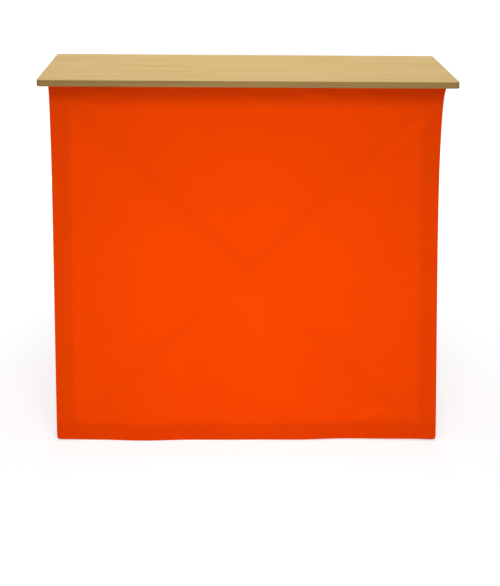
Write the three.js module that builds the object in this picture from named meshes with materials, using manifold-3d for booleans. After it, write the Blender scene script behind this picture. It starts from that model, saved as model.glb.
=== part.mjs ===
// Folding portable bar: a crossed-leg stand that folds on one axle, a lift-off counter board
// and a cloth front that hangs from a batten under the board.
// Millimetres, +Z up. The origin is on the floor under the middle of the board; guests stand at -Y.
import * as THREE from 'three';
import { mergeVertices } from 'three/addons/utils/BufferGeometryUtils.js';
import Module from 'manifold-3d';

const wasm = await Module();
wasm.setup();

// Overall sizes
const BAR_HEIGHT = 1100;
const BOARD_WIDTH = 1200;
const BOARD_DEPTH = 600;
const FIT_GAP = 0.3;

// Counter board and its glued edge band
const BOARD_THICKNESS = 18;
const BOARD_CORNER_RADIUS = 14;
const EDGE_BAND_THICKNESS = 2;
const EDGE_BAND_ARRIS = 1.5;

// Leg frames: square leg tubes between round rails
const LEG_TUBE = 25;
const LEG_WALL = 2;
const LEG_CORNER_RADIUS = 4;
const RAIL_DIAMETER = 25;
const RAIL_WALL = 2;
const RAIL_INSET_FROM_BOARD_END = 55;
const RAIL_TO_BATTEN_GAP = 7;
const FOOT_RAIL_HEIGHT = 17;

// Cast fittings that join a leg to a rail
const FITTING_DIAMETER = 34;
const FITTING_LENGTH = 34;
const FITTING_CHAMFER = 2;
const FITTING_COLLAR = 7;
const FITTING_SPIGOT = 40;
const SET_SCREW_DIAMETER = 6;

// Rubber boots on the foot rails and plugs in the top rails
const BOOT_DIAMETER = 38;
const BOOT_GRIP = 20;
const BOOT_END_WALL = 3;
const BOOT_ROUNDING = 3;
const PLUG_HEAD = 3;
const PLUG_STEM = 16;

// Pivot: one axle through four flanged bushes
const AXLE_DIAMETER = 10;
const BUSH_DIAMETER = 14;
const BUSH_FLANGE_DIAMETER = 24;
const BUSH_FLANGE = 2;
const SPREADER_DIAMETER = 20;
const WASHER_DIAMETER = 24;
const WASHER_THICKNESS = 2;
const NUT_ACROSS_FLATS = 17;
const NUT_HEIGHT = 8;
const NUT_DOME_DIAMETER = 15;
const NUT_DOME_HEIGHT = 7;
const AXLE_IN_NUT = 9;

// Moulded saddles under the board, which hook over the outer side of the top rails
const SADDLE_PAD = 6;
const SADDLE_FLANGE = 4;
const SADDLE_WALL = 6;
const SADDLE_TAB = 20;
const SADDLE_LENGTH = 46;
const SADDLE_LIP_BELOW_RAIL_AXIS = 5;
const SADDLE_TO_FITTING_GAP = 18.6;

// Batten, brackets and touch tapes that carry the cloth
const BATTEN_THICKNESS = 18;
const BATTEN_HEIGHT = 45;
const BATTEN_ROUNDING = 2;
const BATTEN_END_INSET = 8;
const BRACKET_LEG = 36;
const BRACKET_WIDTH = 30;
const BRACKET_SHEET = 2.5;
const BRACKET_END_INSET = 164;
const BRACKET_COUNT = 3;
const BRACKET_SCREW_REACH = 22;
const BRACKET_SCREW_SPACING = 15;
const TAPE_THICKNESS = 1.5;
const TAPE_HEIGHT = 38;

// Pan-head wood screws
const SCREW_SHANK_DIAMETER = 4;
const SCREW_SHANK_LENGTH = 13;
const SCREW_HEAD_DIAMETER = 8;
const SCREW_HEAD_HEIGHT = 2.4;
const SCREW_CROWN_DIAMETER = 5.5;
const SCREW_RIM_HEIGHT = 1;
const SCREW_HOLE_DIAMETER = 5;

// Cloth front
const CLOTH_THICKNESS = 2;
const CLOTH_FRONT_SETBACK = 31;
const CLOTH_SIDE_SETBACK = 28;
const CLOTH_BOTTOM_SPREAD = 6;
const CLOTH_TOP_GAP = 2;
const CLOTH_FLOOR_GAP = 8;
const CLOTH_HEADING_HEIGHT = 50;
const CLOTH_DRAW_LEFT = 4;
const CLOTH_DRAW_RIGHT = 14;
const CLOTH_BOTTOM_SAG = 4;
const CLOTH_SAG_PLACE = -170;
const CLOTH_SAG_WIDTH = 260;
const CLOTH_FOLD_DEPTH = 3.5;
const CLOTH_FOLD_WIDTH = 490;
const CLOTH_RIPPLE_DEPTH = 1.75;
const CLOTH_RIPPLE_WIDTH = 238;
const CLOTH_RIPPLE_LEAN = 113;
const CLOTH_COLUMNS = 28;
const CLOTH_ROWS = 18;

// Facets of round forms
const ROUND_SIDES = 20;
const SMALL_SIDES = 10;
const ARC_STEPS = 3;
const SEAT_STEPS = 9;

// Heights and places that follow from the sizes above
const boardUnderside = BAR_HEIGHT - BOARD_THICKNESS;
const railRadius = RAIL_DIAMETER / 2;
const saddleSeatRadius = railRadius + FIT_GAP;
const saddleTop = saddleSeatRadius + SADDLE_PAD;
const topRailHeight = boardUnderside - FIT_GAP - saddleTop;
const railSpan = BOARD_WIDTH - 2 * RAIL_INSET_FROM_BOARD_END;
const railRise = topRailHeight - FOOT_RAIL_HEIGHT;
const axleHeight = (topRailHeight + FOOT_RAIL_HEIGHT) / 2;
const legReach = Math.hypot(railSpan, railRise) / 2;
const legTilt = Math.atan2(railSpan, railRise);

// Depths, counted from the middle of the board towards the guests
const clothDepth = BOARD_DEPTH / 2 - CLOTH_FRONT_SETBACK;
const loopTapeDepth = clothDepth - CLOTH_THICKNESS / 2 - FIT_GAP - TAPE_THICKNESS / 2;
const hookTapeDepth = loopTapeDepth - TAPE_THICKNESS - FIT_GAP;
const battenFront = hookTapeDepth - TAPE_THICKNESS / 2 - FIT_GAP;
const battenBack = battenFront - BATTEN_THICKNESS;
const railHalfLength = battenBack - RAIL_TO_BATTEN_GAP - PLUG_HEAD - FIT_GAP;
const outerLegDepth = railHalfLength - BOOT_GRIP - FIT_GAP - FITTING_LENGTH / 2;
const legPitch = LEG_TUBE + 2 * BUSH_FLANGE + 3 * FIT_GAP;
const innerLegDepth = outerLegDepth - legPitch;
const saddleReach = innerLegDepth - FITTING_LENGTH / 2 - SADDLE_TO_FITTING_GAP;
const saddleDepth = saddleReach - SADDLE_LENGTH / 2;

// Heights of the cloth
const clothTop = boardUnderside - CLOTH_TOP_GAP;
const clothFoldLine = clothTop - CLOTH_HEADING_HEIGHT;
const clothLength = clothTop - CLOTH_FLOOR_GAP;
const headingShare = (CLOTH_HEADING_HEIGHT - FIT_GAP) / clothLength;
const panelShare = CLOTH_HEADING_HEIGHT / clothLength;
const clothHalfWidth = BOARD_WIDTH / 2 - CLOTH_SIDE_SETBACK;
const battenHalfLength = clothHalfWidth - BATTEN_END_INSET;
const tapeHeight = clothTop - CLOTH_HEADING_HEIGHT / 2;

const ends = [
  { name: 'front', sign: -1 },
  { name: 'rear', sign: 1 },
];
const sides = [
  { name: 'left', sign: -1 },
  { name: 'right', sign: 1 },
];

function finish(colour, roughness, metalness) {
  return () => new THREE.MeshStandardMaterial({ color: colour, roughness, metalness });
}

const beechLaminate = finish(0xd8b980, 0.45, 0);
const beechEdge = finish(0xa98a58, 0.5, 0);
const battenWood = finish(0xc9a877, 0.6, 0);
const silverTube = finish(0xb9bcc0, 0.35, 0.9);
const castAlloy = finish(0x9a9da1, 0.5, 0.8);
const brightSteel = finish(0xc4c6c8, 0.3, 1);
const blackRubber = finish(0x1c1c1d, 0.85, 0);
const blackNylon = finish(0x242527, 0.6, 0);
const orangeCloth = finish(0xf04a00, 0.85, 0);
const blackTape = finish(0x2a2a2b, 0.95, 0);

function toSolid(geometry) {
  const bare = geometry.clone();
  bare.deleteAttribute('normal');
  bare.deleteAttribute('uv');
  const merged = mergeVertices(bare);
  return new wasm.Manifold(new wasm.Mesh({
    numProp: 3,
    vertProperties: new Float32Array(merged.attributes.position.array),
    triVerts: new Uint32Array(merged.index.array),
  }));
}

function toGeometry(solid) {
  const { vertProperties, triVerts } = solid.getMesh();
  const geometry = new THREE.BufferGeometry();
  geometry.setAttribute('position', new THREE.BufferAttribute(vertProperties, 3));
  geometry.setIndex(new THREE.BufferAttribute(triVerts, 1));
  geometry.computeVertexNormals();
  return geometry;
}

function joined(...pieces) {
  return toGeometry(pieces.map(toSolid).reduce((whole, piece) => whole.add(piece)));
}

function cut(body, ...tools) {
  return toGeometry(tools.map(toSolid).reduce((rest, tool) => rest.subtract(tool), toSolid(body)));
}

function roundedRectangle(width, height, radius) {
  const shape = new THREE.Shape();
  const x = width / 2 - radius;
  const y = height / 2 - radius;
  shape.moveTo(x, -y - radius);
  shape.absarc(x, -y, radius, -Math.PI / 2, 0);
  shape.absarc(x, y, radius, 0, Math.PI / 2);
  shape.absarc(-x, y, radius, Math.PI / 2, Math.PI);
  shape.absarc(-x, -y, radius, Math.PI, 1.5 * Math.PI);
  return shape;
}

// A prism of the shape from z = 0 up to the height
function prism(shape, height) {
  return new THREE.ExtrudeGeometry(shape, {
    depth: height,
    bevelEnabled: false,
    curveSegments: ARC_STEPS,
  });
}

// A prism of a cross-section drawn in X and Z, centred on y = 0
function prismAlongY(shape, length) {
  return prism(shape, length).translate(0, 0, -length / 2).rotateX(Math.PI / 2);
}

// A prism of a cross-section drawn in Y and Z, centred on x = 0
function prismAlongX(shape, length) {
  return prism(shape, length).translate(0, 0, -length / 2).rotateX(Math.PI / 2).rotateZ(Math.PI / 2);
}

function rodAlongY(diameter, length, count = ROUND_SIDES) {
  return new THREE.CylinderGeometry(diameter / 2, diameter / 2, length, count);
}

function rodAlongZ(diameter, length, count = SMALL_SIDES) {
  return rodAlongY(diameter, length, count).rotateX(Math.PI / 2);
}

function rodAlongX(diameter, length, count = SMALL_SIDES) {
  return rodAlongY(diameter, length, count).rotateZ(Math.PI / 2);
}

// A form turned round the Y axis from [radius, height] pairs
function turned(profile, count = ROUND_SIDES) {
  return new THREE.LatheGeometry(profile.map(([radius, y]) => new THREE.Vector2(radius, y)), count);
}

function tubeAlongY(outerDiameter, innerDiameter, length) {
  const outer = outerDiameter / 2;
  const inner = innerDiameter / 2;
  const half = length / 2;
  return turned([[inner, -half], [outer, -half], [outer, half], [inner, half], [inner, -half]]);
}

function named(name, geometry, material) {
  const mesh = new THREE.Mesh(geometry, material());
  mesh.name = name;
  return mesh;
}

// A pan-head screw standing on z = 0: head below, shank above
function screw() {
  const head = SCREW_HEAD_DIAMETER / 2;
  const shank = SCREW_SHANK_DIAMETER / 2;
  const profile = [
    [0, -SCREW_HEAD_HEIGHT],
    [SCREW_CROWN_DIAMETER / 2, -SCREW_HEAD_HEIGHT],
    [head, -SCREW_RIM_HEIGHT],
    [head, 0],
    [shank, 0],
    [shank, SCREW_SHANK_LENGTH],
    [0, SCREW_SHANK_LENGTH],
  ];
  return turned(profile, SMALL_SIDES).rotateX(Math.PI / 2);
}

function screwHole() {
  const depth = 2 * (SCREW_SHANK_LENGTH + FIT_GAP);
  return rodAlongZ(SCREW_HOLE_DIAMETER, depth);
}

// Places under the board where a screw goes up into it
function saddleScrewPlaces() {
  const inner = -saddleSeatRadius - SADDLE_TAB / 2;
  const outer = saddleSeatRadius + SADDLE_WALL + SADDLE_TAB / 2;
  const places = [];
  for (const side of sides) {
    for (const end of ends) {
      for (const offset of [inner, outer]) {
        places.push([side.sign * (railSpan / 2 + offset), end.sign * saddleDepth]);
      }
    }
  }
  return places;
}

function bracketPlaces() {
  const outermost = battenHalfLength - BRACKET_END_INSET;
  const spacing = (2 * outermost) / (BRACKET_COUNT - 1);
  return Array.from({ length: BRACKET_COUNT }, (_, index) => index * spacing - outermost);
}

function bracketScrewColumns() {
  const half = BRACKET_SCREW_SPACING / 2;
  return bracketPlaces().flatMap((x) => [x - half, x + half]);
}

function bracketScrewPlaces() {
  const y = -battenBack + FIT_GAP + BRACKET_SCREW_REACH;
  return bracketScrewColumns().map((x) => [x, y]);
}

function counterBoard() {
  const core = roundedRectangle(
    BOARD_WIDTH - 2 * EDGE_BAND_THICKNESS,
    BOARD_DEPTH - 2 * EDGE_BAND_THICKNESS,
    BOARD_CORNER_RADIUS - EDGE_BAND_THICKNESS,
  );
  const slab = prism(core, BOARD_THICKNESS).translate(0, 0, boardUnderside);
  const places = [...saddleScrewPlaces(), ...bracketScrewPlaces()];
  const holes = places.map(([x, y]) => screwHole().translate(x, y, boardUnderside));
  return cut(slab, ...holes);
}

function edgeBand() {
  const outline = roundedRectangle(
    BOARD_WIDTH - 2 * EDGE_BAND_ARRIS,
    BOARD_DEPTH - 2 * EDGE_BAND_ARRIS,
    BOARD_CORNER_RADIUS - EDGE_BAND_ARRIS,
  );
  const plate = new THREE.ExtrudeGeometry(outline, {
    depth: BOARD_THICKNESS - 2 * EDGE_BAND_ARRIS,
    bevelThickness: EDGE_BAND_ARRIS,
    bevelSize: EDGE_BAND_ARRIS,
    bevelSegments: 2,
    curveSegments: ARC_STEPS,
  }).translate(0, 0, boardUnderside + EDGE_BAND_ARRIS);
  const inset = EDGE_BAND_THICKNESS - FIT_GAP;
  const window = roundedRectangle(
    BOARD_WIDTH - 2 * inset,
    BOARD_DEPTH - 2 * inset,
    BOARD_CORNER_RADIUS - inset,
  );
  const core = prism(window, 3 * BOARD_THICKNESS).translate(0, 0, boardUnderside - BOARD_THICKNESS);
  return cut(plate, core);
}

// The saddle's section, drawn from the rail's axis with the hooked side towards the board's end
function saddleSection(outward) {
  const seat = saddleSeatRadius;
  const flangeUnder = saddleTop - SADDLE_FLANGE;
  const wallOuter = seat + SADDLE_WALL;
  const lip = -SADDLE_LIP_BELOW_RAIL_AXIS;
  const section = new THREE.Shape();
  const x = (value) => outward * value;
  section.moveTo(x(-seat - SADDLE_TAB), saddleTop);
  section.lineTo(x(-seat - SADDLE_TAB), flangeUnder);
  section.lineTo(x(-seat), flangeUnder);
  section.lineTo(x(-seat / 2), seat);
  section.lineTo(0, seat);
  for (let step = 1; step <= SEAT_STEPS; step += 1) {
    const angle = (Math.PI / 2) * (1 - step / SEAT_STEPS);
    section.lineTo(x(seat * Math.cos(angle)), seat * Math.sin(angle));
  }
  section.lineTo(x(seat), lip);
  section.lineTo(x(seat + SADDLE_WALL / 2), lip);
  section.lineTo(x(wallOuter), lip + SADDLE_WALL / 2);
  section.quadraticCurveTo(x(wallOuter), flangeUnder, x(wallOuter + SADDLE_TAB / 4), flangeUnder);
  section.lineTo(x(wallOuter + SADDLE_TAB), flangeUnder);
  section.lineTo(x(wallOuter + SADDLE_TAB), saddleTop);
  section.closePath();
  return section;
}

function saddle(side, end) {
  const x = side.sign * railSpan / 2;
  const y = end.sign * saddleDepth;
  const body = prismAlongY(saddleSection(side.sign), SADDLE_LENGTH).translate(x, y, topRailHeight);
  const holes = saddleScrewPlaces().map((place) => screwHole().translate(...place, boardUnderside));
  return cut(body, ...holes);
}

// Places behind the batten where a screw goes forward into it
function battenScrewPlaces() {
  const z = boardUnderside - FIT_GAP - BRACKET_SCREW_REACH;
  return bracketScrewColumns().map((x) => [x, z]);
}

function battenScrewHole(x, z) {
  return rodAlongY(SCREW_HOLE_DIAMETER, 2 * (SCREW_SHANK_LENGTH + FIT_GAP), SMALL_SIDES)
    .translate(x, -battenBack, z);
}

function clothBatten() {
  const section = roundedRectangle(BATTEN_THICKNESS, BATTEN_HEIGHT, BATTEN_ROUNDING);
  const z = boardUnderside - FIT_GAP - BATTEN_HEIGHT / 2;
  const bar = prismAlongX(section, 2 * battenHalfLength).translate(0, -(battenFront + battenBack) / 2, z);
  return cut(bar, ...battenScrewPlaces().map(([x, height]) => battenScrewHole(x, height)));
}

// A pressed angle bracket in the corner between the batten's back and the board's underside
function battenBracket(x) {
  const corner = 2 * BRACKET_SHEET;
  const inner = corner - BRACKET_SHEET;
  const section = new THREE.Shape();
  section.moveTo(BRACKET_LEG, 0);
  section.lineTo(corner, 0);
  section.absarc(corner, -corner, corner, Math.PI / 2, Math.PI);
  section.lineTo(0, -BRACKET_LEG);
  section.lineTo(BRACKET_SHEET, -BRACKET_LEG);
  section.lineTo(BRACKET_SHEET, -corner);
  section.absarc(corner, -corner, inner, Math.PI, Math.PI / 2, true);
  section.lineTo(BRACKET_LEG, -BRACKET_SHEET);
  section.closePath();
  const y = -battenBack + FIT_GAP;
  const z = boardUnderside - FIT_GAP;
  const body = prismAlongX(section, BRACKET_WIDTH).translate(x, y, z);
  const up = bracketScrewPlaces().map((place) => screwHole().translate(...place, boardUnderside));
  const forward = battenScrewPlaces().map((place) => battenScrewHole(...place));
  return cut(body, ...up, ...forward);
}

function touchTape(depth) {
  const length = 2 * (battenHalfLength - BATTEN_END_INSET);
  const section = roundedRectangle(TAPE_THICKNESS, TAPE_HEIGHT, TAPE_THICKNESS / 4);
  return prismAlongX(section, length).translate(0, -depth, tapeHeight);
}

// Half the cloth's width on one side, at a share of the way down from its top edge
function clothReach(side, down) {
  const draw = side < 0 ? CLOTH_DRAW_LEFT : CLOTH_DRAW_RIGHT;
  const drawnIn = draw * Math.sin(Math.PI * Math.sqrt(down));
  return clothHalfWidth + CLOTH_BOTTOM_SPREAD * down - drawnIn;
}

// A point of the cloth's middle surface: across runs from -1 to 1, down from 0 to 1
function clothPoint(across, down) {
  const x = across * clothReach(across, down);
  const sag = CLOTH_BOTTOM_SAG * Math.exp(-(((x - CLOTH_SAG_PLACE) / CLOTH_SAG_WIDTH) ** 2));
  const z = clothTop - down * (clothLength - CLOTH_BOTTOM_SAG + sag);
  const hang = Math.max(0, clothFoldLine - z) / (clothLength - CLOTH_HEADING_HEIGHT);
  const turn = 2 * Math.PI;
  const fold = CLOTH_FOLD_DEPTH * Math.sin((turn * x) / CLOTH_FOLD_WIDTH);
  const lean = CLOTH_RIPPLE_LEAN * down;
  const ripple = CLOTH_RIPPLE_DEPTH * Math.sin((turn * (x - lean)) / CLOTH_RIPPLE_WIDTH);
  return new THREE.Vector3(x, -clothDepth - hang * (fold + ripple), z);
}

// A closed sheet of even thickness over a stretch of the cloth
function clothSheet(downStart, downEnd, columns, rows) {
  const positions = [];
  const triangles = [];
  const stride = columns + 1;
  const layer = stride * (rows + 1);
  for (const offset of [-CLOTH_THICKNESS / 2, CLOTH_THICKNESS / 2]) {
    for (let row = 0; row <= rows; row += 1) {
      for (let column = 0; column <= columns; column += 1) {
        const down = downStart + (downEnd - downStart) * (row / rows);
        const point = clothPoint((2 * column) / columns - 1, down);
        positions.push(point.x, point.y + offset, point.z);
      }
    }
  }
  const quad = (a, b, c, d) => triangles.push(a, b, c, a, c, d);
  for (let row = 0; row < rows; row += 1) {
    for (let column = 0; column < columns; column += 1) {
      const corner = row * stride + column;
      const back = layer + corner;
      quad(corner, corner + stride, corner + stride + 1, corner + 1);
      quad(back, back + 1, back + stride + 1, back + stride);
    }
  }
  for (let column = 0; column < columns; column += 1) {
    const bottom = rows * stride + column;
    quad(column, column + 1, layer + column + 1, layer + column);
    quad(bottom, layer + bottom, layer + bottom + 1, bottom + 1);
  }
  for (let row = 0; row < rows; row += 1) {
    const left = row * stride;
    const right = left + columns;
    quad(left, layer + left, layer + left + stride, left + stride);
    quad(right, right + stride, layer + right + stride, layer + right);
  }
  const geometry = new THREE.BufferGeometry();
  geometry.setAttribute('position', new THREE.Float32BufferAttribute(positions, 3));
  geometry.setIndex(triangles);
  geometry.computeVertexNormals();
  return geometry;
}

// A leg tube along Z, pierced for the pivot bush
function legTube() {
  const length = 2 * (legReach - FITTING_DIAMETER / 2 - FITTING_COLLAR - FIT_GAP);
  const section = roundedRectangle(LEG_TUBE, LEG_TUBE, LEG_CORNER_RADIUS);
  const bore = LEG_TUBE - 2 * LEG_WALL;
  section.holes.push(roundedRectangle(bore, bore, LEG_CORNER_RADIUS - LEG_WALL));
  const tube = prism(section, length).translate(0, 0, -length / 2);
  return cut(tube, rodAlongY(BUSH_DIAMETER + 2 * FIT_GAP, 2 * LEG_TUBE));
}

// A cast fitting on the rail's axis: a sleeve for the rail, and below it a collar and a spigot for the leg
function legFitting(screwSide) {
  const radius = FITTING_DIAMETER / 2;
  const half = FITTING_LENGTH / 2;
  const sleeve = turned([
    [0, -half],
    [radius - FITTING_CHAMFER, -half],
    [radius, -half + FITTING_CHAMFER],
    [radius, half - FITTING_CHAMFER],
    [radius - FITTING_CHAMFER, half],
    [0, half],
  ]);
  const collarEnd = radius + FITTING_COLLAR;
  const collar = prism(roundedRectangle(LEG_TUBE, LEG_TUBE, LEG_CORNER_RADIUS), collarEnd)
    .translate(0, 0, -collarEnd);
  const spigotWidth = LEG_TUBE - 2 * LEG_WALL - 2 * FIT_GAP;
  const spigotRadius = LEG_CORNER_RADIUS - LEG_WALL - FIT_GAP;
  const spigotEnd = collarEnd + FITTING_SPIGOT;
  const spigot = prism(roundedRectangle(spigotWidth, spigotWidth, spigotRadius), spigotEnd)
    .translate(0, 0, -spigotEnd);
  const rail = rodAlongY(RAIL_DIAMETER + 2 * FIT_GAP, 2 * FITTING_LENGTH);
  const screwHoleLength = FITTING_DIAMETER;
  const hole = rodAlongX(SET_SCREW_DIAMETER + 2 * FIT_GAP, screwHoleLength)
    .translate(screwSide * screwHoleLength / 2, 0, 0);
  return cut(joined(sleeve, collar, spigot), rail, hole);
}

// A rubber boot whose closed end is towards +Y and whose sole is flat and level
function footBoot() {
  const outer = BOOT_DIAMETER / 2;
  const bore = railRadius + FIT_GAP;
  const mouth = railHalfLength - BOOT_GRIP;
  const seat = railHalfLength + FIT_GAP;
  const end = seat + BOOT_END_WALL;
  const shell = turned([
    [0, seat],
    [bore, seat],
    [bore, mouth],
    [outer - BOOT_ROUNDING / 3, mouth],
    [outer, mouth + BOOT_ROUNDING / 3],
    [outer, end - BOOT_ROUNDING],
    [outer - BOOT_ROUNDING, end],
    [0, end],
  ]);
  const floor = new THREE.BoxGeometry(BOOT_DIAMETER, 2 * end, BOOT_DIAMETER)
    .translate(0, end, -FOOT_RAIL_HEIGHT - BOOT_DIAMETER / 2);
  return cut(shell, floor);
}

// A plug in the open end of a top rail, with its head towards +Y
function railPlug() {
  const head = railRadius;
  const stem = railRadius - RAIL_WALL - FIT_GAP;
  const seat = railHalfLength + FIT_GAP;
  return turned([
    [0, seat - PLUG_STEM],
    [stem - PLUG_HEAD / 3, seat - PLUG_STEM],
    [stem, seat - PLUG_STEM + PLUG_HEAD / 3],
    [stem, seat],
    [head, seat],
    [head, seat + PLUG_HEAD / 2],
    [head - PLUG_HEAD / 2, seat + PLUG_HEAD],
    [0, seat + PLUG_HEAD],
  ]);
}

// A flanged pivot bush in a leg: the barrel runs along +Y from the flange
function pivotBush() {
  const bore = AXLE_DIAMETER / 2 + FIT_GAP;
  const barrel = BUSH_DIAMETER / 2;
  const flange = BUSH_FLANGE_DIAMETER / 2;
  const start = -BUSH_FLANGE - FIT_GAP;
  const barrelEnd = LEG_TUBE - FIT_GAP;
  return turned([
    [bore, start],
    [flange, start],
    [flange, -FIT_GAP],
    [barrel, -FIT_GAP],
    [barrel, barrelEnd],
    [bore, barrelEnd],
    [bore, start],
  ]);
}

// Turns a piece made for the rear end round to the front
function atEnd(geometry, end) {
  return end.sign < 0 ? geometry.rotateZ(Math.PI) : geometry;
}

// One leg frame about the axle, drawn upright and then tilted
function legFrame(name, tilt, legDepth, flangeFacesOut) {
  const frame = new THREE.Group();
  frame.position.set(0, 0, axleHeight);
  frame.rotation.y = tilt;
  const levels = [
    { name: 'top', height: legReach, flip: 0 },
    { name: 'foot', height: -legReach, flip: Math.PI },
  ];
  for (const level of levels) {
    const rail = tubeAlongY(RAIL_DIAMETER, RAIL_DIAMETER - 2 * RAIL_WALL, 2 * railHalfLength)
      .translate(0, 0, level.height);
    frame.add(named(`${name}_${level.name}_rail`, rail, silverTube));
    for (const end of ends) {
      const place = [0, end.sign * legDepth, level.height];
      const fitting = legFitting(Math.sign(tilt)).rotateY(level.flip).translate(...place);
      frame.add(named(`${name}_${level.name}_fitting_${end.name}`, fitting, castAlloy));
    }
  }
  for (const end of ends) {
    const leg = legTube().translate(0, end.sign * legDepth, 0);
    frame.add(named(`${name}_leg_${end.name}`, leg, silverTube));

    const bush = flangeFacesOut ? pivotBush().rotateZ(Math.PI) : pivotBush();
    const bushSeat = legDepth + (flangeFacesOut ? LEG_TUBE / 2 : -LEG_TUBE / 2);
    const seated = atEnd(bush.translate(0, bushSeat, 0), end);
    frame.add(named(`${name}_bush_${end.name}`, seated, blackNylon));

    const plug = atEnd(railPlug(), end).translate(0, 0, legReach);
    frame.add(named(`${name}_rail_plug_${end.name}`, plug, blackNylon));

    const boot = named(`${name}_boot_${end.name}`, atEnd(footBoot(), end), blackRubber);
    boot.position.set(0, 0, -legReach);
    boot.rotation.y = -tilt;
    frame.add(boot);
  }
  return frame;
}

// A domed cap nut with a blind bore, its flat face on y = 0 and its dome towards +Y
function capNut() {
  const across = NUT_ACROSS_FLATS / Math.cos(Math.PI / 6);
  const hexagon = rodAlongY(across, NUT_HEIGHT, 6).translate(0, NUT_HEIGHT / 2, 0);
  const domeRadius = NUT_DOME_DIAMETER / 2;
  const domeProfile = [[0, NUT_HEIGHT / 2], [domeRadius, NUT_HEIGHT / 2]];
  for (let step = 0; step < ARC_STEPS; step += 1) {
    const angle = (Math.PI / 2) * (step / ARC_STEPS);
    domeProfile.push([domeRadius * Math.cos(angle), NUT_HEIGHT + NUT_DOME_HEIGHT * Math.sin(angle)]);
  }
  domeProfile.push([0, NUT_HEIGHT + NUT_DOME_HEIGHT]);
  const boreLength = 2 * (AXLE_IN_NUT + FIT_GAP);
  return cut(joined(hexagon, turned(domeProfile)), rodAlongY(AXLE_DIAMETER + 2 * FIT_GAP, boreLength));
}

function pivot() {
  const group = new THREE.Group();
  group.position.set(0, 0, axleHeight);
  const washerSeat = outerLegDepth + LEG_TUBE / 2 + FIT_GAP;
  const nutSeat = washerSeat + WASHER_THICKNESS + FIT_GAP;
  group.add(named('pivot_axle', rodAlongY(AXLE_DIAMETER, 2 * (nutSeat + AXLE_IN_NUT)), brightSteel));
  const spreaderLength = 2 * (innerLegDepth - LEG_TUBE / 2 - FIT_GAP);
  const spreaderBore = AXLE_DIAMETER + 2 * FIT_GAP;
  group.add(named('pivot_spreader', tubeAlongY(SPREADER_DIAMETER, spreaderBore, spreaderLength), silverTube));
  for (const end of ends) {
    const washer = tubeAlongY(WASHER_DIAMETER, AXLE_DIAMETER + 2 * FIT_GAP, WASHER_THICKNESS)
      .translate(0, end.sign * (washerSeat + WASHER_THICKNESS / 2), 0);
    group.add(named(`pivot_washer_${end.name}`, washer, brightSteel));
    const nut = atEnd(capNut().translate(0, nutSeat, 0), end);
    group.add(named(`pivot_cap_nut_${end.name}`, nut, brightSteel));
  }
  return group;
}

function counter() {
  const group = new THREE.Group();
  group.add(named('counter_board', counterBoard(), beechLaminate));
  group.add(named('counter_edge_band', edgeBand(), beechEdge));
  for (const side of sides) {
    for (const end of ends) {
      group.add(named(`saddle_${side.name}_${end.name}`, saddle(side, end), blackNylon));
    }
  }
  const screwSeat = topRailHeight + saddleTop - SADDLE_FLANGE - FIT_GAP;
  saddleScrewPlaces().forEach(([x, y], index) => {
    group.add(named(`saddle_screw_${index + 1}`, screw().translate(x, y, screwSeat), brightSteel));
  });
  group.add(named('cloth_batten', clothBatten(), battenWood));
  bracketPlaces().forEach((x, index) => {
    group.add(named(`batten_bracket_${index + 1}`, battenBracket(x), brightSteel));
  });
  group.add(named('hook_tape', touchTape(hookTapeDepth), blackTape));
  group.add(named('loop_tape', touchTape(loopTapeDepth), blackTape));
  group.add(named('cloth_heading', clothSheet(0, headingShare, CLOTH_COLUMNS, 1), orangeCloth));
  return group;
}

const bar = new THREE.Group();
bar.add(pivot());
bar.add(legFrame('outer', -legTilt, outerLegDepth, false));
bar.add(legFrame('inner', legTilt, innerLegDepth, true));
bar.add(counter());
bar.add(named('cloth_panel', clothSheet(panelShare, 1, CLOTH_COLUMNS, CLOTH_ROWS), orangeCloth));

export default bar;
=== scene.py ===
"""Dresses the solids of a folding portable bar: finishes, cloth front, castings, boots and fasteners."""
import math

import bmesh
import bpy
from bpy.props import FloatProperty, FloatVectorProperty, PointerProperty
from mathutils import Matrix, Vector, noise


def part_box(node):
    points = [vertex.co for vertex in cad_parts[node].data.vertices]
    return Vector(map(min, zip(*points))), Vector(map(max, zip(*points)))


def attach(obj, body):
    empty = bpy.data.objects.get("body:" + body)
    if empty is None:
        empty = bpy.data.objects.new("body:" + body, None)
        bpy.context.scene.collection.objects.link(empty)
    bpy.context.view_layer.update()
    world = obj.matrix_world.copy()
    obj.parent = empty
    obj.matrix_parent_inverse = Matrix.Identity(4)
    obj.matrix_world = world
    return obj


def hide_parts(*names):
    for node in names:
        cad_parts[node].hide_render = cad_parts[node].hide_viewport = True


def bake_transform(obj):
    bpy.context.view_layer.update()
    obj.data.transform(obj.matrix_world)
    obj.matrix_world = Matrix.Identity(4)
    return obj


bl_info = {
    "name": "Folding portable bar",
    "version": (1, 0, 0),
    "blender": (4, 5, 0),
    "location": "3D View > Sidebar > Bar",
    "description": "Dresses the solids of a folding bar with its cloth front, castings and finishes",
    "category": "Object",
}

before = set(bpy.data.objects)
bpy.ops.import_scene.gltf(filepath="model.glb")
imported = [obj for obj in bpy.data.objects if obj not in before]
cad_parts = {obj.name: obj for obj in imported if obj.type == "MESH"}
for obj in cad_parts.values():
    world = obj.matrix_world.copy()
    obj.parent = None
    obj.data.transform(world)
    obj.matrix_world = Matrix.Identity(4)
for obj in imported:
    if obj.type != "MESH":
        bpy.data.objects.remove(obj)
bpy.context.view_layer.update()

MM = 0.001
PHOTO_LONG_SIDE = 586
SENSOR_WIDTH = 36

# Limits for joining and rounding the copies of the solids
MERGE_DISTANCE = 0.002 * MM
FLAT_ANGLE = math.radians(0.5)
SHARP_ANGLE = math.radians(40)
TURN_STEPS = 48
SMALL_TURN_STEPS = 24

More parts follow.
